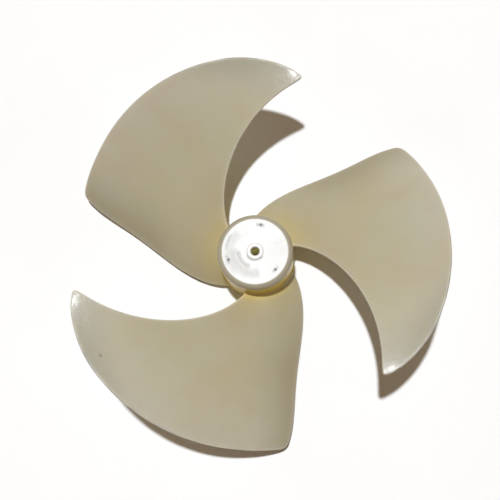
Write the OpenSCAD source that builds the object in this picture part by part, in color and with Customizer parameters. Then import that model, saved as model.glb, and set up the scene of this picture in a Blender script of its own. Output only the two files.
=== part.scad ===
// Three-blade condenser fan moulded as one piece: an open-backed hub cup with three swept,
// twisted and cambered blades. Millimetres, +Z up. The origin lies on the shaft axis in the
// plane of the hub's rear rim; the closed hub face looks up and the leading edges sweep clockwise.

/* [Overall] */
// Diameter of the circle swept by the trailing corners of the blades
fan_d = 150; // [130:1:190]
// Outside diameter of the hub
hub_d = 29; // [26:0.5:34]
// Depth of the hub from its rear rim to its front face
hub_h = 23.5; // [21:0.5:28]

/* [Shaft bore] */
// Diameter of the motor shaft
shaft_d = 3.17; // [3:0.01:6]
// Bore diameter less shaft diameter: below zero the hub is pressed on
bore_fit = -0.02; // [-0.05:0.01:0.1]
// Width of the 45 degree chamfer at both mouths of the bore
bore_chamfer = 0.35; // [0.2:0.05:0.6]

/* [Hub] */
// Thickness of the hub's cylindrical wall
wall_t = 2.2; // [1.8:0.1:3]
// Thickness of the closed front face
face_t = 2.6; // [2:0.1:4]
// Radius of the rounded edge between face and wall
face_edge_r = 2; // [1:0.1:3]
// Wall of the central boss round the bore
boss_wall = 2.9; // [2:0.1:4]
// Distance of the boss end above the rear rim
boss_gap = 0; // [0:0.1:3]
// Width of the raised collar round the bore on the front face
collar_w = 1.5; // [1:0.1:2.5]
// Height of the raised collar
collar_h = 0.4; // [0.2:0.05:1]
// Thickness of the radial ribs inside the cup
rib_t = 1.4; // [1:0.1:2.5]
// Distance of the rib ends above the rear rim
rib_gap = 7; // [2:0.5:12]
// Diameter of the small ejector marks in the front face
mark_d = 1.1; // [0.6:0.1:2]
// Depth of the ejector marks
mark_depth = 0.3; // [0.1:0.05:0.6]
// Diameter of the circle the ejector marks lie on
mark_circle_d = 21; // [16:0.5:22]
// Direction of the first ejector mark
mark_deg = 77.7; // [0:0.1:119]

/* [Blade outline] */
// Direction of the leading edge where it leaves the hub
root_deg = 15.6; // [0:0.1:119]
// Forward sweep of the leading edge at one third of its length
sweep_1_deg = 27.3; // [22:0.1:32]
// Forward sweep of the leading edge at two thirds of its length
sweep_2_deg = 48.4; // [42:0.1:54]
// Forward sweep of the leading edge at the rim, before the tip is rounded
sweep_3_deg = 68.9; // [60:0.1:74]
// Angle from the leading root to the trailing edge at the hub
trail_0_deg = 88.8; // [80:0.1:96]
// The same angle at one third of the trailing edge
trail_1_deg = 45.7; // [40:0.1:50]
// The same angle at two thirds of the trailing edge
trail_2_deg = 30.6; // [26:0.1:34]
// The same angle at the trailing corner
trail_3_deg = 23.4; // [18:0.1:27]
// How much nearer the axis the rim lies at the leading tip than at the trailing corner
rim_drop = 2.2; // [0:0.1:6]
// Angle over which the tip is rounded back along the rim
tip_round_deg = 31.3; // [20:0.1:38]
// Share of the blade length where the rounding of the tip starts
tip_round_from = 0.9; // [0.8:0.01:0.92]
// Fullness of the rounded tip: 2 is a quarter ellipse, less is a flatter cut
tip_fullness = 1.34; // [1.3:0.01:2.4]
// How gently that rounding starts, so that the point of the tip is blunt: 0 is a sharp point
tip_ease = 0.25; // [0:0.01:0.3]
// Angle over which both edges are rounded where they meet the rim
corner_round_deg = 1.5; // [0.5:0.1:6]
// Share of the blade length where the rounding of both starts
corner_round_from = 0.97; // [0.9:0.01:0.98]

/* [Blade height and section] */
// Height of the leading edge above the rear rim at the hub
lead_0_z = 15.2; // [14:0.1:18.5]
// Height of the leading edge at one third of its length
lead_1_z = 23.4; // [20:0.1:26]
// Height of the leading edge at two thirds of its length
lead_2_z = 33; // [30:0.1:37]
// Height of the leading edge at the rim, before the tip is rounded
lead_3_z = 38.3; // [34:0.1:41]
// Height of the trailing edge above the rear rim at the hub
trail_0_z = 3.2; // [3:0.1:5]
// Height of the trailing edge halfway out
trail_1_z = 2.6; // [2.4:0.1:5]
// Height of the trailing corner
trail_2_z = 4.5; // [2.6:0.1:8]
// Camber of the section at the hub
camber_0 = 2.1; // [0:0.1:3]
// Camber of the section halfway out
camber_1 = 4.1; // [2:0.1:8]
// Camber of the section at the rim
camber_2 = 13.3; // [10:0.1:17]
// Shift of the deepest camber towards the trailing edge
camber_shift = 0.78; // [0:0.01:1]
// Thickness of the blade in the middle of its section
blade_t = 1.9; // [1.6:0.1:2.6]
// Thickness of the blade along its edges
edge_t = 1.2; // [1:0.1:1.4]
// Thickening of the blade where it runs into the hub
root_flare_t = 1; // [0.4:0.1:1.4]
// Length over which the blade thickens towards the hub
root_flare_l = 5; // [3:0.5:8]

/* [Hidden] */

// Blades, ribs and ejector marks repeat round the axis
blade_n = 3;
rib_n = 2 * blade_n;
pitch_deg = 360 / blade_n;

// Radii that follow from the sizes above
hub_r = hub_d / 2;
bore_r = (shaft_d + bore_fit) / 2;
boss_r = bore_r + boss_wall;
collar_r = bore_r + collar_w;
corner_r = fan_d / 2;
tip_r = corner_r - rim_drop;
face_z = hub_h - face_t;
front_z = hub_h + collar_h;

// The blade starts half the wall deep inside the hub and its next station stands clear of the hub
root_bite = wall_t / 2;
root_clear = 1.5;
// Parts that join overlap by this much
join = 0.5;
// Parts that cut run past the surface by this much
past = 1;
// Thickness left at the very outline of the rounded edge
nib_t = 0.36;
// Share of the extra thickness in the middle of the section that is gone at the rim
rim_thinning = 0.5;
// Step over which the direction of the surface is measured
tiny = 0.0001;

// Steps along and across a blade, and of the turned surfaces
steps_out = 19;
steps_across = 20;
turn_steps = 64;
station_ease = 1.7;

// Curves through evenly spaced values, s running from 0 at the hub to 1 at the rim
function through_3(a, b, c, s) = a * (1 - s) * (1 - 2 * s) + 4 * b * s * (1 - s) + c * s * (2 * s - 1);
function through_4(a, b, c, d, s) =
    ((3 * s - 1) * (3 * s - 2) * (1 - s) * a + 9 * s * (3 * s - 2) * (s - 1) * b
    - 9 * s * (3 * s - 1) * (s - 1) * c + s * (3 * s - 1) * (3 * s - 2) * d) / 2;

// Quarter of a superellipse that draws an edge in towards the rim and may start gently
function round_off(amount, from, fullness, ease, s) =
    let (x = (s - from) / (1 - from),
         along = min(1, (x + sqrt(x * x + ease * ease)) / (1 + sqrt(1 + ease * ease))))
    amount * (1 - pow(1 - pow(along, fullness), 1 / fullness));

// Directions of the two edges as swept lines, and as they are once tip and corner are rounded
function lead_line(s) = root_deg - through_4(0, sweep_1_deg, sweep_2_deg, sweep_3_deg, s);
function trail_line(s) = root_deg + through_4(trail_0_deg, trail_1_deg, trail_2_deg, trail_3_deg, s);
function corner_deg(s) = round_off(corner_round_deg, corner_round_from, 2, 0, s);
function lead_deg(s) =
    lead_line(s) + round_off(tip_round_deg, tip_round_from, tip_fullness, tip_ease, s) + corner_deg(s);
function trail_deg(s) = trail_line(s) - corner_deg(s);
function radius_at(s, v) = hub_r + (tip_r + (corner_r - tip_r) * v - hub_r) * s;

// Height of the front surface, u running from 0 on the swept leading line to 1 on the trailing one
function front_z_at(s, u) =
    through_4(lead_0_z, lead_1_z, lead_2_z, lead_3_z, s) * (1 - u)
    + through_3(trail_0_z, trail_1_z, trail_2_z, s) * u
    + through_3(camber_0, camber_1, camber_2, s) * 4 * u * (1 - u) * (1 + camber_shift * (u - 0.5));

// The endless sheet that the front of a blade is cut from
function sheet_pt(s, u) =
    let (a = lead_line(s) * (1 - u) + trail_line(s) * u, r = radius_at(s, u))
    [r * cos(a), r * sin(a), front_z_at(s, u)];

// Place on that sheet, v running from 0 at the leading to 1 at the trailing edge
function edge_to_edge(s, v) = lead_deg(s) * (1 - v) + trail_deg(s) * v;
function sheet_u(s, v) = (edge_to_edge(s, v) - lead_line(s)) / (trail_line(s) - lead_line(s));
function front_pt(s, v) =
    let (a = edge_to_edge(s, v), r = radius_at(s, v))
    [r * cos(a), r * sin(a), front_z_at(s, sheet_u(s, v))];

// Stations out along the blade crowd together at the rim, steps across at both edges
root_s = -root_bite / (tip_r - hub_r);
first_s = root_clear / (tip_r - hub_r);
stations = concat([root_s], [for (i = [0:steps_out])
    1 - (1 - first_s) * pow(1 - i / steps_out, station_ease)]);
across = [for (j = [0:steps_across]) (1 - cos(180 * j / steps_across)) / 2];
row_n = len(across);
last_row = len(stations) - 1;

// Full thickness: thin along the edges, thickest in the middle, flared into the hub
function full_t(s, v) =
    let (body = edge_t + (blade_t - edge_t) * sin(180 * v) * (1 - rim_thinning * max(0, s)),
         reach = root_flare_l / (tip_r - hub_r))
    body + root_flare_t * (s < reach ? pow(1 - max(0, s) / reach, 2) : 0) * sin(180 * v);

// Layers of points in front of and behind the middle of the blade
function unit(p) = p / norm(p);
function normal_at(s, u) =
    unit(cross(sheet_pt(s + tiny, u) - sheet_pt(s - tiny, u), sheet_pt(s, u + tiny) - sheet_pt(s, u - tiny)));
function on_outline(i, j) = i == last_row || j == 0 || j == row_n - 1;
function layer(side) = [for (i = [0:last_row]) for (j = [0:row_n - 1])
    let (s = stations[i], v = across[j], t = full_t(s, v), here = on_outline(i, j) ? nib_t : t)
    front_pt(s, v) - normal_at(s, sheet_u(s, v)) * (t + side * here) / 2];

module blade() {
    // A closed skin: front layer, rear layer, and strips that join them all the way round
    shift = (last_row + 1) * row_n;
    function cell(i, j) = i * row_n + j;
    front_faces = [for (i = [0:last_row - 1]) for (j = [0:row_n - 2])
        for (f = [[cell(i, j), cell(i, j + 1), cell(i + 1, j + 1)],
                  [cell(i, j), cell(i + 1, j + 1), cell(i + 1, j)]]) f];
    rear_faces = [for (f = front_faces) [f[2] + shift, f[1] + shift, f[0] + shift]];
    outline = concat([for (i = [0:last_row]) cell(i, 0)],
                     [for (j = [1:row_n - 1]) cell(last_row, j)],
                     [for (i = [1:last_row]) cell(last_row - i, row_n - 1)],
                     [for (j = [1:row_n - 2]) cell(0, row_n - 1 - j)]);
    edge_n = len(outline);
    edge_faces = [for (k = [0:edge_n - 1])
        let (a = outline[k], b = outline[(k + 1) % edge_n])
        for (f = [[a, b, b + shift], [a, b + shift, a + shift]]) f];
    polyhedron(points = concat(layer(-1), layer(1)),
               faces = concat(front_faces, rear_faces, edge_faces), convexity = 8);
}

module hub() {
    difference() {
        union() {
            // Cup wall and face as one turned profile with a rounded front edge
            rotate_extrude($fn = turn_steps) difference() {
                square([hub_r, hub_h]);
                translate([0, -past]) square([hub_r - wall_t, face_z + past]);
                translate([hub_r - face_edge_r, hub_h - face_edge_r]) difference() {
                    square(face_edge_r + past);
                    circle(r = face_edge_r, $fn = turn_steps / 2);
                }
            }
            // Collar in front and boss behind, round the bore
            translate([0, 0, face_z]) cylinder(r = collar_r, h = front_z - face_z, $fn = turn_steps);
            translate([0, 0, boss_gap]) cylinder(r = boss_r, h = face_z + join - boss_gap, $fn = turn_steps);
            // Radial ribs between boss and wall
            for (k = [0:rib_n - 1]) rotate(root_deg + k * 360 / rib_n)
                translate([boss_r - join, -rib_t / 2, rib_gap])
                    cube([hub_r - wall_t - boss_r + 2 * join, rib_t, face_z + join - rib_gap]);
        }
        // Shaft bore with a chamfer at each mouth
        translate([0, 0, boss_gap - past])
            cylinder(r = bore_r, h = front_z - boss_gap + 2 * past, $fn = turn_steps);
        translate([0, 0, front_z - bore_chamfer])
            cylinder(r1 = bore_r, r2 = bore_r + bore_chamfer + past, h = bore_chamfer + past, $fn = turn_steps);
        translate([0, 0, boss_gap - past])
            cylinder(r1 = bore_r + bore_chamfer + past, r2 = bore_r, h = bore_chamfer + past, $fn = turn_steps);
        // Ejector marks sunk into the face
        for (k = [0:blade_n - 1]) rotate(mark_deg + k * pitch_deg)
            translate([mark_circle_d / 2, 0, hub_h - mark_depth])
                cylinder(d = mark_d, h = mark_depth + past, $fn = turn_steps / 4);
    }
}

module fan() {
    color([0.74, 0.70, 0.58]) union() {
        hub();
        for (k = [0:blade_n - 1]) rotate(k * pitch_deg) blade();
    }
}

fan();
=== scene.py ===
# Three-blade condenser fan in natural plastic, lying on a pale table under one lamp.
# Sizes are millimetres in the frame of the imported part, and metres where a note says so.
import math
from functools import reduce

import bmesh
import bpy
import numpy as np
from mathutils import Matrix, Vector, kdtree


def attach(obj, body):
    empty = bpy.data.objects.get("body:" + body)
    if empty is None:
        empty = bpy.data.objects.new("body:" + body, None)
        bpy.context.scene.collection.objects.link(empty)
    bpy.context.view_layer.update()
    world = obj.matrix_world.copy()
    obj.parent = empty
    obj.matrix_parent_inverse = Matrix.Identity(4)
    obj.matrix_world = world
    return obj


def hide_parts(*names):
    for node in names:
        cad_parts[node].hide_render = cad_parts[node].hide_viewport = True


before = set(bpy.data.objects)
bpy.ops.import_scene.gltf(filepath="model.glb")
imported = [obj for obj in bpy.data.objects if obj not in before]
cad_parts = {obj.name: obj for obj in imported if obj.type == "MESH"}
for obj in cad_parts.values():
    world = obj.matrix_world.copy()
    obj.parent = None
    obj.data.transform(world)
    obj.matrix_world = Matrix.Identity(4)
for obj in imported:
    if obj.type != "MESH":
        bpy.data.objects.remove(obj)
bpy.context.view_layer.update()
millimetre = 0.001       # in metres
print("frame loaded, nodes:", sorted(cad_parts))


def linear(red, green, blue):  # a colour as shown on screen, 0 to 255, as light
    out = []
    for value in (red, green, blue):
        share = value / 255
        out.append(share / 12.92 if share <= 0.04045 else ((share + 0.055) / 1.055) ** 2.4)
    return (*out, 1.0)


# Wire holds one output socket of a node tree, so that masks and heights read as sums
class Wire:
    def __init__(self, tree, socket=None):
        self.tree, self.socket = tree, socket

    def node(self, kind, settings=None, sockets=None, out=0):
        made = self.tree.nodes.new(kind)
        for name, value in (settings or {}).items():
            setattr(made, name, value)
        for name, value in (sockets or {}).items():
            if isinstance(value, Wire):
                self.tree.links.new(value.socket, made.inputs[name])
            else:
                made.inputs[name].default_value = value
        return Wire(self.tree, made.outputs[out])

    def maths(self, operation, *values):
        return self.node("ShaderNodeMath", {"operation": operation}, dict(enumerate(values)))

    def __add__(self, other):
        return self.maths("ADD", self, other)

    def __sub__(self, other):
        return self.maths("SUBTRACT", self, other)

    def __rsub__(self, other):
        return self.maths("SUBTRACT", other, self)

    def __mul__(self, other):
        return self.maths("MULTIPLY", self, other)

    def __truediv__(self, other):
        return self.maths("DIVIDE", self, other)

    def __pow__(self, other):
        return self.maths("POWER", self, other)

    def __rtruediv__(self, other):
        return self.maths("DIVIDE", other, self)

    def __rpow__(self, other):
        return self.maths("POWER", other, self)

    __radd__ = __add__
    __rmul__ = __mul__

    def ramped(self, low, high):  # 0 below low, 1 above high, smooth between; low may be the larger
        return self.node("ShaderNodeMapRange", {"interpolation_type": "SMOOTHSTEP"},
                         {"Value": self, "From Min": low, "From Max": high})

    def mixed(self, first, second):  # first where self is 0, second where it is 1
        return self.node("ShaderNodeMix", {"data_type": "RGBA"}, {0: self, 6: first, 7: second}, out=2)

    def size(self):  # without its sign
        return self.maths("ABSOLUTE", self)

    def most(self, other):  # the larger of two values
        return self.maths("MAXIMUM", self, other)

    def scaled(self, *factors):  # a vector stretched along its axes
        return self.node("ShaderNodeVectorMath", {"operation": "MULTIPLY"}, {0: self, 1: factors})

    def distance(self, point):  # from a vector to a fixed point
        return self.node("ShaderNodeVectorMath", {"operation": "DISTANCE"}, {0: self, 1: point}, out=1)

    def noise(self, scale, detail=3.0, roughness=0.55):
        return self.node("ShaderNodeTexNoise", {"noise_dimensions": "3D"},
                         {"Vector": self, "Scale": scale, "Detail": detail, "Roughness": roughness})


def newMaterial(name):
    material = bpy.data.materials.new(name)
    material.use_nodes = True
    tree = material.node_tree
    tree.nodes.clear()
    return material, Wire(tree)


def finishMaterial(start, shader):
    output = start.tree.nodes.new("ShaderNodeOutputMaterial")
    start.tree.links.new(shader.socket, output.inputs["Surface"])


def newPiece(name, points, faces):
    mesh = bpy.data.meshes.new(name)
    mesh.from_pydata([tuple(p) for p in points], [], [tuple(f) for f in faces])
    mesh.update()
    piece = bpy.data.objects.new(name, mesh)
    bpy.context.scene.collection.objects.link(piece)
    return piece


def treeOf(points):  # for the distance to the nearest of many points
    tree = kdtree.KDTree(len(points))
    for i, point in enumerate(points):
        tree.insert(point, i)
    tree.balance()
    return tree


# Camera: where the photograph was taken from, about 38 cm over the table
cameraView = {
    "place": (15.96, -67.68, 376.83),
    "heading": 7.866,     # degrees from +Y towards +X
    "pitch": -79.847,     # degrees above the horizon
    "roll": -0.487,
    "lens": 68.14,
    "sensor": 36,
    "shift": (-0.14, 0.028),  # the photograph is cropped off centre
}


def addCamera():
    heading, pitch, roll = (math.radians(cameraView[k]) for k in ("heading", "pitch", "roll"))
    level = math.cos(pitch)
    ahead = Vector((math.sin(heading) * level, math.cos(heading) * level, math.sin(pitch)))
    right = ahead.cross(Vector((0, 1, 0))).normalized()
    up = right.cross(ahead)
    turn = Matrix.Rotation(-roll, 3, ahead)
    axes = Matrix((turn @ right, turn @ up, -ahead)).transposed()
    camera = bpy.data.objects.new("camera", bpy.data.cameras.new("camera"))
    camera.data.lens = cameraView["lens"]
    camera.data.sensor_width = cameraView["sensor"]
    camera.data.shift_x, camera.data.shift_y = cameraView["shift"]
    camera.data.clip_start = 0.01
    camera.matrix_world = Matrix.Translation(Vector(cameraView["place"]) * millimetre) @ axes.to_4x4()
    bpy.context.scene.collection.objects.link(camera)
    bpy.context.scene.camera = camera


addCamera()
print("camera placed")


# Hub: an open-backed cup turned round the shaft axis
fanTurn = 15.6   # degrees, how the fan lies on the table
hub = {
    "radius": 14.5, "depth": 23.5, "wall": 2.2, "face": 2.6,
    "frontRound": 2.0, "rimRound": 0.35, "coreRound": 0.9,
    "boreRadius": 1.575, "boreChamfer": 0.35, "bossRadius": 4.475,
    "collarRadius": 3.075, "collarHeight": 0.4, "collarRound": 0.16, "boreRound": 0.08,
    "steps": 192, "longest": 1.6,   # how finely it is turned, and the longest straight piece
}
ribs = {
    "count": 6, "turn": fanTurn, "thickness": 1.4, "edgeRound": 0.25,
    "gap": 7.0, "sunk": 0.5,   # how far in from the rear rim, and how deep in the walls
}
marks = {
    "count": 3, "radius": 0.55, "depth": 0.3, "circle": 10.5, "turn": 77.7,
    "dish": ((0, 1), (0.6, 0.93), (0.85, 0.7), (1, 0.2)),   # shares of the radius and the depth
    "above": 0.5, "steps": 28,   # the cutter's reach above the face, and how finely it is turned
}


def roundedLoop(corners, steps=6):  # corners are (radius, height, rounding), the loop closes itself
    loop = []
    for i, (x, y, rounding) in enumerate(corners):
        here = np.array([x, y], float)
        back = np.array(corners[i - 1][:2], float) - here
        on = np.array(corners[(i + 1) % len(corners)][:2], float) - here
        if rounding == 0:
            loop.append(here)
            continue
        back, on = back / np.linalg.norm(back), on / np.linalg.norm(on)
        half = math.acos(np.clip(back @ on, -1, 1)) / 2
        reach = rounding / math.tan(half)
        centre = here + (back + on) / np.linalg.norm(back + on) * rounding / math.sin(half)
        first, last = here + back * reach - centre, here + on * reach - centre
        sweep = math.pi - 2 * half
        for k in range(steps + 1):
            part = k / steps
            mixed = math.sin((1 - part) * sweep) * first + math.sin(part * sweep) * last
            loop.append(centre + mixed / math.sin(sweep))
    return loop


def spread(loop, longest, guard=0.05):  # adds points along the straight stretches and near their ends
    out = []
    for i, here in enumerate(loop):
        on = loop[(i + 1) % len(loop)]
        length = np.linalg.norm(on - here)
        count = math.ceil(length / longest)
        parts = [k / count for k in range(count)]
        if length > 8 * guard:
            parts = [0, guard / length, *parts[1:], 1 - guard / length]
        out += [here + (on - here) * part for part in parts]
    return out


def turned(name, loop, steps):
    angles = np.linspace(0, 2 * math.pi, steps, endpoint=False)
    points = [(r * math.cos(a), r * math.sin(a), z) for a in angles for r, z in loop]
    n = len(loop)
    faces = []
    for i in range(steps):
        here, on = i * n, (i + 1) % steps * n
        faces += [(here + j, on + j, on + (j + 1) % n, here + (j + 1) % n) for j in range(n)]
    return newPiece(name, np.array(points) * millimetre, faces)


def makeHub():
    inner, faceBack = hub["radius"] - hub["wall"], hub["depth"] - hub["face"]
    top, bore, chamfer = hub["depth"] + hub["collarHeight"], hub["boreRadius"], hub["boreChamfer"]
    small = hub["boreRound"]
    corners = [
        (hub["radius"], 0, hub["rimRound"]),
        (hub["radius"], hub["depth"], hub["frontRound"]),
        (hub["collarRadius"], hub["depth"], hub["collarRound"]),
        (hub["collarRadius"], top, hub["collarRound"]),
        (bore + chamfer, top, small),
        (bore, top - chamfer, small),
        (bore, chamfer, small),
        (bore + chamfer, 0, small),
        (hub["bossRadius"], 0, hub["rimRound"]),
        (hub["bossRadius"], faceBack, hub["coreRound"]),
        (inner, faceBack, hub["coreRound"]),
        (inner, 0, hub["rimRound"]),
    ]
    return turned("hubCup", spread(roundedLoop(corners), hub["longest"]), hub["steps"])


def makeRib(turn):
    low = np.array([hub["bossRadius"] - ribs["sunk"], -ribs["thickness"] / 2, ribs["gap"]])
    reach = hub["radius"] - hub["wall"] + ribs["sunk"]
    high = np.array([reach, ribs["thickness"] / 2, hub["depth"] - hub["face"] + ribs["sunk"]])
    form = bmesh.new()
    bmesh.ops.create_cube(form, size=1)
    stretched = Matrix.LocRotScale(Vector((low + high) / 2), None, Vector(high - low))
    bmesh.ops.transform(form, matrix=stretched, verts=form.verts)
    rear = [e for e in form.edges if all(v.co.z < low[2] + 0.01 for v in e.verts)]
    bmesh.ops.bevel(form, geom=rear, offset=ribs["edgeRound"], segments=3, profile=0.5, affect="EDGES")
    turning = Matrix.Rotation(math.radians(turn), 4, "Z")
    bmesh.ops.transform(form, matrix=turning, verts=form.verts)
    bmesh.ops.scale(form, vec=(millimetre,) * 3, verts=form.verts)
    mesh = bpy.data.meshes.new("rib")
    form.to_mesh(mesh)
    form.free()
    piece = bpy.data.objects.new("rib", mesh)
    bpy.context.scene.collection.objects.link(piece)
    return piece


def markPlace(turn):
    angle = math.radians(turn)
    return marks["circle"] * math.cos(angle), marks["circle"] * math.sin(angle), hub["depth"]


def makeMark(turn):  # a shallow dished pin mark, taken out of the face
    radius, above, steps = marks["radius"], marks["above"], marks["steps"]
    loop = [(radius * out, -marks["depth"] * down) for out, down in marks["dish"]]
    loop += [(radius * 1.05, above), (0, above)]
    points = [(0, 0, loop[0][1]), (0, 0, loop[-1][1])]
    rings = loop[1:-1]
    points += [(x * math.cos(2 * math.pi * k / steps), x * math.sin(2 * math.pi * k / steps), z)
               for x, z in rings for k in range(steps)]
    faces = []
    for k in range(steps):
        on = (k + 1) % steps
        faces.append((0, 2 + on, 2 + k))
        for i in range(len(rings) - 1):
            low, high = 2 + i * steps, 2 + (i + 1) * steps
            faces.append((low + k, low + on, high + on, high + k))
        last = 2 + (len(rings) - 1) * steps
        faces.append((1, last + k, last + on))
    return newPiece("mark", (np.array(points) + markPlace(turn)) * millimetre, faces)


# Blades: leading edge swept forward, height and camber growing towards the rim
blade = {   # a row of values runs from the hub to the rim in even steps
    "count": 3, "turn": fanTurn,
    "sweep": (0, 27.3, 48.4, 68.9), "trail": (88.8, 45.7, 30.6, 23.4),   # degrees to each edge
    "rimRadius": 74.81, "rimDrop": 2.2,
    "tipRound": 31.3, "tipFrom": 0.9, "tipFullness": 1.34, "tipEase": 0.25,   # how it is cut back
    "cornerRound": 1.5, "cornerFrom": 0.97,
    "leadHeight": (15.2, 23.4, 33.0, 38.3), "trailHeight": (3.2, 2.6, 4.5),
    "camber": (2.1, 4.1, 13.3), "camberShift": 0.78,
    "sink": (50.4, -48.3, 4.6, 0.24),   # the tip sinks a little: where across, how far round, how deep
    "thickness": 1.9, "edgeThickness": 1.2, "rimThinning": 0.5,
    "flare": 1.0, "flareReach": 5.0,   # how much thicker at the hub, and how far out
    "fillet": 1.1, "bite": 1.1,   # its rounding into the hub, and how deep in the wall it starts
    "stepsAcross": 84, "rootSteps": 7, "bodySteps": 33, "tipSteps": 44,
    "fineBefore": 0.06,   # the finer steps begin this share of the span before the tip
    "sharpFrom": 38, "farFromEdge": 20.0,   # degrees between faces; beyond this the edge has no effect
}
bladeSpan = blade["rimRadius"] - blade["rimDrop"] - hub["radius"]   # along the leading edge


def through(values, s):  # the curve through evenly spaced values, s from 0 to 1
    places = np.linspace(0, 1, len(values))
    total = 0
    for i, value in enumerate(values):
        weight = 1.0
        for j, place in enumerate(places):
            if j != i:
                weight = weight * (s - place) / (places[i] - place)
        total = total + value * weight
    return total


def roundOff(amount, start, fullness, ease, s):  # a quarter superellipse that may start gently
    x = (s - start) / (1 - start)
    along = np.clip((x + np.sqrt(x * x + ease * ease)) / (1 + math.sqrt(1 + ease * ease)), 0, 1)
    return amount * (1 - (1 - along ** fullness) ** (1 / fullness))


def sheetLines(s):  # directions of the swept edges before tip and corner are rounded
    return blade["turn"] - through(blade["sweep"], s), blade["turn"] + through(blade["trail"], s)


def radiusAt(s, v):
    return hub["radius"] + (blade["rimRadius"] - blade["rimDrop"] * (1 - v) - hub["radius"]) * s


def sheetPoint(s, u, r):  # a point of the endless sheet that the blade is cut from
    lead, trail = sheetLines(s)
    z = through(blade["leadHeight"], s) * (1 - u) + through(blade["trailHeight"], s) * u
    z = z + through(blade["camber"], s) * 4 * u * (1 - u) * (1 + blade["camberShift"] * (u - 0.5))
    angle = np.radians(lead + (trail - lead) * u)
    x, y = r * np.cos(angle), r * np.sin(angle)
    sinkX, sinkY, reach, depth = blade["sink"]
    near = np.clip(1 - np.hypot(x - sinkX, y - sinkY) / reach, 0, 1)
    return np.stack([x, y, z - depth * near * near * (3 - 2 * near)], -1)


def bladeFront(s, v):  # points and normals; s from hub to rim, v from leading to trailing edge
    leadLine, trailLine = sheetLines(s)
    corner = roundOff(blade["cornerRound"], blade["cornerFrom"], 2, 0, s)
    tip = roundOff(blade["tipRound"], blade["tipFrom"], blade["tipFullness"], blade["tipEase"], s)
    lead = leadLine + tip + corner
    trail = trailLine - corner
    r = radiusAt(s, v)
    near = np.clip(1 - (r - hub["radius"]) / blade["fillet"], 0, 1)  # both edges flare into the hub too
    flare = np.degrees(blade["fillet"] * (1 - np.sqrt(np.clip(1 - near ** 2, 0, 1))) / r)
    angle = (lead - flare) * (1 - v) + (trail + flare) * v
    u = (angle - leadLine) / (trailLine - leadLine)
    step = 1e-4
    out = sheetPoint(s + step, u, radiusAt(s + step, u)) - sheetPoint(s - step, u, radiusAt(s - step, u))
    back = sheetPoint(s, u + step, radiusAt(s, u + step)) - sheetPoint(s, u - step, radiusAt(s, u - step))
    normal = np.cross(out, back)
    return sheetPoint(s, u, r), normal / np.linalg.norm(normal, axis=-1, keepdims=True)


def bladeStations():  # closer together at the fillet and towards the rim
    root = 1 - np.cos(np.linspace(0, math.pi / 2, blade["rootSteps"]))[1:]
    root = blade["fillet"] * root / bladeSpan
    start = blade["tipFrom"] - blade["fineBefore"]
    body = np.linspace(root[-1], start, blade["bodySteps"])[1:]
    tip = start + (1 - start) * np.sin(np.linspace(0, math.pi / 2, blade["tipSteps"]))[1:]
    return np.concatenate([[-blade["bite"] / bladeSpan, 0], root, body, tip])


def bladeSkins():
    stations = bladeStations()
    across = (1 - np.cos(np.linspace(0, math.pi, blade["stepsAcross"] + 1))) / 2
    s, v = np.meshgrid(stations, across, indexing="ij")
    front, normal = bladeFront(s, v)
    edge = np.concatenate([front[2:, 0], front[-1, 1:-1], front[:1:-1, -1]])
    tree = treeOf(edge)
    gap = np.array([tree.find(p)[2] for p in front.reshape(-1, 3)]).reshape(s.shape)   # from the edge
    middle = np.sin(math.pi * v)   # 0 at both edges, 1 halfway
    thinning = 1 - blade["rimThinning"] * np.clip(s, 0, 1)
    body = blade["edgeThickness"] + (blade["thickness"] - blade["edgeThickness"]) * middle * thinning
    reach = blade["flareReach"] / bladeSpan
    full = body + blade["flare"] * np.clip(1 - np.clip(s, 0, 1) / reach, 0, 1) ** 2 * middle
    half = blade["edgeThickness"] / 2   # the edges are rounded by this
    bulge = np.sqrt(np.clip(1 - np.clip(1 - gap / half, 0, 1) ** 2, 0, 1))
    bulge[:, 0], bulge[:, -1], bulge[-1, :] = 0, 0, 0
    away = np.clip((np.hypot(front[..., 0], front[..., 1]) - hub["radius"]) / blade["fillet"], 0, 1)
    fillet = blade["fillet"] * (1 - np.sqrt(1 - (1 - away) ** 2))
    rise = (full - full * bulge) / 2 - fillet * bulge
    fall = (full + full * bulge) / 2 + fillet * bulge
    return front - normal * rise[..., None], front - normal * fall[..., None], edge


def makeBlade(turn):
    front, rear, edge = bladeSkins()
    rows, columns = front.shape[:2]
    count = rows * columns
    points = np.concatenate([front.reshape(-1, 3), rear.reshape(-1, 3)])
    faces = []
    for i in range(rows - 1):
        for j in range(columns - 1):
            a = i * columns + j
            b, c, d = a + 1, a + columns + 1, a + columns
            faces += [(d, c, b, a), (a + count, b + count, c + count, d + count)]
    faces += [(j, j + 1, j + 1 + count, j + count) for j in range(columns - 1)]
    turning = np.array(Matrix.Rotation(math.radians(turn), 3, "Z"))
    piece = newPiece("blade", points @ turning.T * millimetre, faces)
    form = bmesh.new()
    form.from_mesh(piece.data)
    bmesh.ops.remove_doubles(form, verts=form.verts, dist=2e-6)
    bmesh.ops.recalc_face_normals(form, faces=form.faces)
    form.to_mesh(piece.data)
    form.free()
    return piece, edge @ turning.T


def combine(base, others, operation):  # the others are used up
    for other in others:
        change = base.modifiers.new("join", "BOOLEAN")
        change.operation, change.object, change.solver = operation, other, "MANIFOLD"
    settled = base.evaluated_get(bpy.context.evaluated_depsgraph_get())
    mesh = bpy.data.meshes.new_from_object(settled)
    base.modifiers.clear()
    base.data = mesh
    for other in others:
        bpy.data.objects.remove(other)


def cleanFaces(piece):  # some of the cut faces have points in a row
    form = bmesh.new()
    form.from_mesh(piece.data)
    many = [face for face in form.faces if len(face.verts) > 4]
    bmesh.ops.triangulate(form, faces=many, quad_method="BEAUTY", ngon_method="BEAUTY")
    bmesh.ops.dissolve_degenerate(form, dist=1e-6, edges=form.edges)
    form.to_mesh(piece.data)
    form.free()


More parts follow.
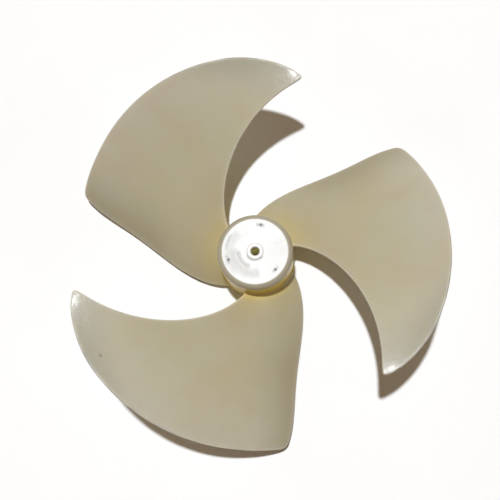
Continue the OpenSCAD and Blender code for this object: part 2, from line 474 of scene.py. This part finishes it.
def keepEdgeGap(piece, edges):  # how far each point is from a blade's edge, for the material to read
    tree = treeOf(edges)
    places = np.empty(len(piece.data.vertices) * 3, np.float32)
    piece.data.vertices.foreach_get("co", places)
    gaps = [min(blade["farFromEdge"], tree.find(p)[2]) for p in places.reshape(-1, 3) / millimetre]
    layer = piece.data.attributes.new("edgeGap", "FLOAT", "POINT")
    layer.data.foreach_set("value", np.asarray(gaps, np.float32))


def makeFan():
    fan = makeHub()
    spokes = [makeRib(ribs["turn"] + 360 / ribs["count"] * k) for k in range(ribs["count"])]
    combine(fan, spokes, "UNION")
    pins = [makeMark(marks["turn"] + 360 / marks["count"] * k) for k in range(marks["count"])]
    combine(fan, pins, "DIFFERENCE")
    print("hub made,", len(fan.data.vertices), "points")
    made = [makeBlade(360 / blade["count"] * k) for k in range(blade["count"])]
    combine(fan, [piece for piece, edge in made], "UNION")
    cleanFaces(fan)
    print("blades joined,", len(fan.data.vertices), "points")
    fan.name = fan.data.name = "fanMoulding"
    keepEdgeGap(fan, np.concatenate([edge for piece, edge in made]))
    fan.data.shade_smooth()
    fan.data.set_sharp_from_angle(angle=math.radians(blade["sharpFrom"]))
    return fan


# Finish: unfilled natural plastic, deeper in colour where it is thick, paler along thin edges; painted
# shade, an amber glow and a sheen are laid into the colour as well
plastic = {
    "root": linear(172, 161, 126), "warm": linear(178, 162, 130), "cool": linear(184, 180, 160),
    "layers": {   # colours laid over the root's, and how much of each there is at most
        "body": (linear(180, 172, 141), 1.0), "rim": (linear(187, 180, 160), 1.0),
        # painted shade: the low colour is a darker brown laid where the blades come down near the table
        "flow": (linear(178, 162, 130), 0.18), "low": (linear(154, 143, 114), 0.8),
        "tip": (linear(165, 161, 142), 0.9), "edge": (linear(206, 204, 196), 1.0),
        # painted light: the amber colour is mostly a glow of light through the plastic in shade, partly
        # the deeper tone of thick plastic
        "deep": (linear(232, 202, 64), 1.0), "face": (linear(213, 212, 210), 0.85),
        # painted light: the bore colour is a near white glow laid round the top of the bore
        "bore": (linear(254, 249, 200), 1.0), "ringShade": (linear(152, 147, 136), 0.5),
        "grimeAndShade": (linear(168, 169, 171), 0.6), "markDarkening": (linear(96, 99, 106), 0.7),
        "worn": (linear(206, 204, 196), 0.35), "speck": (linear(96, 84, 60), 0.45),
    },
    "where": {   # a look begins at the first number and is full at the second, in millimetres
        "body": (16, 40), "rim": (44, 76), "outward": (20, 45),   # from the axis
        "hub": (hub["radius"] + 0.9, hub["radius"] - 0.3),
        "cup": (hub["radius"] - 0.7, hub["radius"] - 1.9),
        "face": (hub["radius"] - 1.65, hub["radius"] - 2.05),
        "joint": (hub["radius"] + 12.5, hub["radius"]),
        "corner": (hub["radius"] + 4.5, hub["radius"] + 0.1),
        "bore": (hub["boreRadius"] + 0.225, hub["boreRadius"] + 0.025),
        "lowShadeHeight": (17, 3), "tipHeight": (33, 38), "glossHeight": (32.5, 37),   # above the rear rim
        "rearRim": (2.0, 0.3), "wallHeight": (hub["depth"] - 1.0, hub["depth"] - 8.5),
        # painted shade on the hub's rounded front edge
        "ringShadeHeight": (hub["depth"] - 2.7, hub["depth"] - 1.5),
        "faceHeight": (hub["depth"] - 1.5, hub["depth"] - 0.5),
        "boreGlowHeight": (hub["depth"] + 0.1, hub["depth"] - 0.7),
        "thinEdge": (3.2, 0.1), "brightEdge": (0.9, 0.1), "wornEdge": (1.3, 0.2),   # from a blade's edge
        "markDarkening": (0.75, 0.3),   # from the middle of a pin mark
        "front": (-7, -14),    # in y, towards the camera, on the hub's shaded side
    },
    "specks": (((-54.6, -40.1, 35.7), 0.85),),   # dark flecks in the plastic: place and size
    "smearsAndShade": (   # handling marks on the face, and painted shade under the collar and over the face's lower left: circle, half width, direction, how far round, depth
        (6.3, 1.5, 215, 0.75, 0.75), (8.4, 3.4, 225, 0.45, 0.5), (3.5, 0.55, 265, 0.35, 1.0),
        (9.5, 3.6, 180, 0.6, 0.4), (10.9, 1.2, 160, 0.95, 0.8), (10.4, 1.3, 79, 0.985, 0.9),
        (10.7, 1.4, 197, 0.985, 1.0), (10.4, 1.0, 318, 0.985, 0.6),
    ),
    "cloudSize": 28.0, "grainSize": 0.35, "flowCount": 9.0,
    "roughness": 0.37, "faceRoughness": 0.38, "tipRoughness": 0.30, "ior": 1.49,
    "bump": 0.30, "bumpDepth": 0.00006,   # in metres
    "depthShare": 0.5, "depthColours": (1.0, 0.72, 0.32),   # how light goes into the plastic
    "depth": 0.002,   # in metres
}


def laid(colour, mask, name):  # one layer of colour over what is there
    layer, most = plastic["layers"][name]
    return (mask * most).mixed(colour, layer)


def bladeColour(r, z, edgeGap, cloud, smallCloud, flow):
    where = plastic["where"]
    colour = laid(plastic["root"], r.ramped(*where["body"]), "body")
    colour = laid(colour, r.ramped(*where["rim"]), "rim")
    patch = cloud.ramped(0.34, 0.66).mixed(plastic["warm"], plastic["cool"])
    colour = (smallCloud.ramped(0.3, 0.7) * 0.3 + 0.12).mixed(colour, patch)
    colour = laid(colour, flow.ramped(0.52, 0.72), "flow")
    # painted shade: darker brown where the blades sit low near the table, away from the hub
    colour = laid(colour, z.ramped(*where["lowShadeHeight"]) * r.ramped(*where["outward"]), "low")
    colour = laid(colour, z.ramped(*where["tipHeight"]), "tip")
    edge = edgeGap.ramped(*where["thinEdge"]) * 0.12 + edgeGap.ramped(*where["brightEdge"]) * 0.5
    return laid(colour, edge, "edge")


def thickAndGlowParts(r, y, z, onHub):  # where the plastic is thick enough to look amber, plus a painted amber glow of light through the plastic, strongest on the hub's shaded side
    where = plastic["where"]
    joint = r.ramped(*where["joint"]) * 0.12   # between blade and hub
    # painted light: more amber glow on the hub's shaded side, towards the camera
    joint = joint + r.ramped(*where["corner"]) * y.ramped(*where["front"]) * 0.4
    cup = r.ramped(*where["cup"])
    inside = cup + (1 - cup) * z.ramped(*where["rearRim"])
    return onHub * z.ramped(*where["wallHeight"]) * (0.85 - inside * 0.5) + joint * (1 - onHub)


def handMarksAndShade(x, y, r):  # smears left on the face by handling, and painted shade on the face
    smearsAndShade = []
    for circle, halfWidth, direction, reach, depth in plastic["smearsAndShade"]:
        angle = math.radians(direction)
        side = (x * math.cos(angle) + y * math.sin(angle)) / r
        band = (r - circle).size().ramped(halfWidth, 0)
        smearsAndShade.append(band * side.ramped(reach, 0.4 + reach * 0.6) * depth)
    return reduce(Wire.most, smearsAndShade)


def makePlastic():
    material, start = newMaterial("fan_plastic")
    where = plastic["where"]
    place = start.node("ShaderNodeTexCoord", out=3).scaled(1000, 1000, 1000)  # millimetres
    parts = start.node("ShaderNodeSeparateXYZ", None, {0: place})
    x, y, z = (Wire(parts.tree, socket) for socket in parts.socket.node.outputs)
    r = (x * x + y * y) ** 0.5
    edgeGap = start.node("ShaderNodeAttribute", {"attribute_name": "edgeGap"}, out=2)
    onHub = r.ramped(*where["hub"])
    onFace = r.ramped(*where["face"]) * z.ramped(*where["faceHeight"])
    onTip = z.ramped(*where["glossHeight"])

    cloud = place.noise(1 / plastic["cloudSize"], detail=2.0)
    smallCloud = place.noise(3.1 / plastic["cloudSize"], detail=3.0)
    across, up = x / r * plastic["flowCount"], y / r * plastic["flowCount"]
    around = start.node("ShaderNodeCombineXYZ", None, {0: across, 1: up, 2: r * 0.03})
    flow = around.noise(1.0, detail=4.0, roughness=0.6)   # faint lines from the gate outwards
    scuff = place.scaled(1, 1, 2.6).noise(1.7, detail=5.0, roughness=0.7)
    worn = edgeGap.ramped(*where["wornEdge"]) * scuff.ramped(0.50, 0.66)
    smudgeAndShade = handMarksAndShade(x, y, r) * onFace * scuff.ramped(0.30, 0.55)

    colour = bladeColour(r, z, edgeGap, cloud, smallCloud, flow)
    # partly the deeper tone of thick plastic, partly a painted amber glow of light through it in shade
    colour = laid(colour, thickAndGlowParts(r, y, z, onHub) * (0.8 + smallCloud * 0.4), "deep")
    # painted sheen: the hub face is laid paler and greyer than the plastic, standing in for the lamp's
    # glare on it
    colour = laid(colour, onFace, "face")
    # painted light: a near white glow round the top edge of the bore
    colour = laid(colour, r.ramped(*where["bore"]) * z.ramped(*where["boreGlowHeight"]), "bore")
    # painted shade and reflection: the hub's rounded front edge is laid grey where it turns away from the
    # lamp
    colour = laid(colour, onHub * (1 - onFace) * z.ramped(*where["ringShadeHeight"]), "ringShade")
    # partly handling marks, partly painted shade under the bore's collar and over the face's lower left
    colour = laid(colour, smudgeAndShade, "grimeAndShade")
    for k in range(marks["count"]):   # the pin marks are darker in their middles
        gap = place.distance(markPlace(marks["turn"] + 360 / marks["count"] * k))
        colour = laid(colour, gap.ramped(*where["markDarkening"]), "markDarkening")
    colour = laid(colour, worn, "worn")
    for speckPlace, size in plastic["specks"]:
        colour = laid(colour, place.distance(speckPlace).ramped(size, size * 0.4), "speck")

    rough = onFace * (plastic["faceRoughness"] - plastic["roughness"]) + plastic["roughness"]
    rough = rough + onTip * (plastic["tipRoughness"] - plastic["roughness"])
    rough = rough + (smallCloud - 0.5) * 0.10 + (flow - 0.5) * 0.06 + worn * 0.12 + smudgeAndShade * 0.16
    grain = place.noise(1 / plastic["grainSize"], detail=2.0)
    ripple = place.noise(0.09, detail=2.0)
    height = grain * 0.35 + ripple * 1.6 + flow * 0.5 - worn * 0.8 + scuff * 0.12
    height = height + place.noise(0.8, detail=2.0) * onTip * 3.2   # breaks the tips' highlights
    bump = start.node("ShaderNodeBump", None, {
        "Strength": plastic["bump"], "Distance": plastic["bumpDepth"], "Height": height,
    })
    shader = start.node("ShaderNodeBsdfPrincipled", {"subsurface_method": "RANDOM_WALK"}, {
        "Base Color": colour, "Roughness": rough, "Normal": bump, "IOR": plastic["ior"],
        "Subsurface Weight": plastic["depthShare"], "Subsurface Radius": plastic["depthColours"],
        "Subsurface Scale": plastic["depth"],
    })
    finishMaterial(start, shader)
    return material


fan = makeFan()
fan.data.materials.clear()
fan.data.materials.append(makePlastic())
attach(fan, "root")
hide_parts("fan")
print("fan finished")


# Table, lamp and room light
table = {
    "size": 3.0, "drop": 0.0001,   # in metres, just under the fan
    "colour": linear(254, 254, 254), "grain": linear(252, 252, 252),
}
light = {
    "towards": (-0.039, 0.198, 1.0), "width": 2.7,   # the lamp's place in the sky, and degrees across
    "strength": 0.88, "colour": (0.96, 1.0, 1.035),
    "room": 0.16, "roomColour": (1.0, 0.70, 0.44, 1.0), "seenColour": (1.0, 1.0, 1.0, 1.0),
    "whiteTo": ("Is Camera Ray", "Is Transmission Ray", "Is Glossy Ray"),
}


def addTable():
    half, low = table["size"] / 2, -table["drop"]
    corners = [(-half, -half, low), (half, -half, low), (half, half, low), (-half, half, low)]
    piece = newPiece("tableTop", corners, [(0, 1, 2, 3)])
    material, start = newMaterial("paleTable")
    place = start.node("ShaderNodeTexCoord", out=3)
    colour = place.noise(14, detail=4.0).ramped(0.35, 0.65).mixed(table["colour"], table["grain"])
    finishMaterial(start, start.node("ShaderNodeBsdfPrincipled", None, {
        "Base Color": colour, "Roughness": 0.85, "Specular IOR Level": 0.1,
    }))
    piece.data.materials.append(material)


def addLamp():
    towards = Vector(light["towards"]).normalized()
    data = bpy.data.lights.new("lamp", "SUN")
    data.angle = math.radians(light["width"])
    data.energy = light["strength"] * math.pi / towards.z  # a white table then shows the strength itself
    data.color = light["colour"]
    lamp = bpy.data.objects.new("lamp", data)
    lamp.location = towards
    lamp.rotation_mode = "QUATERNION"
    lamp.rotation_quaternion = towards.to_track_quat("Z", "Y")
    bpy.context.scene.collection.objects.link(lamp)


def addRoom():
    world = bpy.data.worlds.new("room")
    bpy.context.scene.world = world
    world.use_nodes = True
    world.node_tree.nodes.clear()
    start = Wire(world.node_tree)
    path = start.node("ShaderNodeLightPath")
    ways = path.socket.node.outputs
    seen, through, mirrored = (Wire(path.tree, ways[name]) for name in light["whiteTo"])
    seen = seen.most(through).most(mirrored)
    strength = seen * (1 - light["room"]) + light["room"]
    colour = seen.mixed(light["roomColour"], light["seenColour"])  # a warm fill, white where it shows
    shader = start.node("ShaderNodeBackground", None, {"Color": colour, "Strength": strength})
    output = start.tree.nodes.new("ShaderNodeOutputWorld")
    start.tree.links.new(shader.socket, output.inputs["Surface"])


addTable()
addLamp()
addRoom()
bpy.context.scene.view_settings.view_transform = "Standard"
print("table and light placed")
